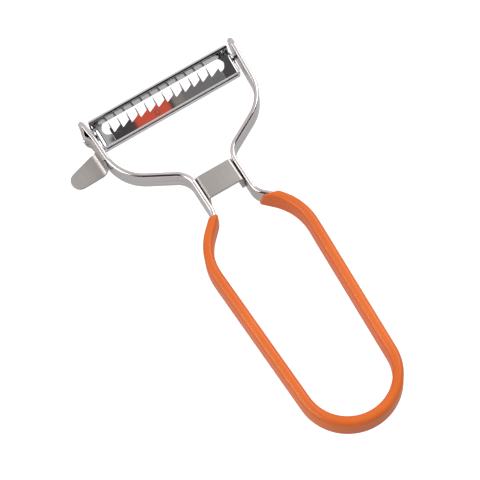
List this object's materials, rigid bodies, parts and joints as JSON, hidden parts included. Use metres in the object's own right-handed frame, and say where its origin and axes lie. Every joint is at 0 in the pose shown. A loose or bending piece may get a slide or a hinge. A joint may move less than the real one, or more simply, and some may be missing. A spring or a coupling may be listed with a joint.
{
  "type": "julienne_peeler",
  "caption": "Julienne peeler: looped flat steel strip with dipped orange grip, swivelling slotted blade with saw teeth and upright fins, neck bridge and side eye remover",
  "frame": {"origin": "middle of the end of the loop, on the flat back of the grip, on the plane that halves the handle", "axes": "X along the blade to the right seen from the front, Y from the end of the loop to the blade, Z out of the front"},
  "size_m": [0.075, 0.1473, 0.011],
  "materials": {
    "strip_steel": "fine lengthwise grain on the edges, smoother on the wide sides",
    "orange_vinyl": "glossy dipped vinyl",
    "sheet_steel": "fine satin grain",
    "polished_steel": "polished pressed stainless sheet",
    "tooth_steel": "smooth bright sheet that mirrors what is dark around it"
  },
  "bodies": {
    "frame": {"frame_strip": "strip_steel", "grip_coating": "orange_vinyl", "neck_bridge": "sheet_steel", "eye_remover": "sheet_steel"},
    "blade": {"blade_cradle": "polished_steel", "tooth_strip": "tooth_steel"}
  },
  "joints": [
    {"name": "blade_swivel", "type": "hinge", "parent": "frame", "child": "blade", "pos_m": [0, 0.1384, 0.00551], "axis": [1, 0, 0], "range_deg": [-20, 20]}
  ]
}
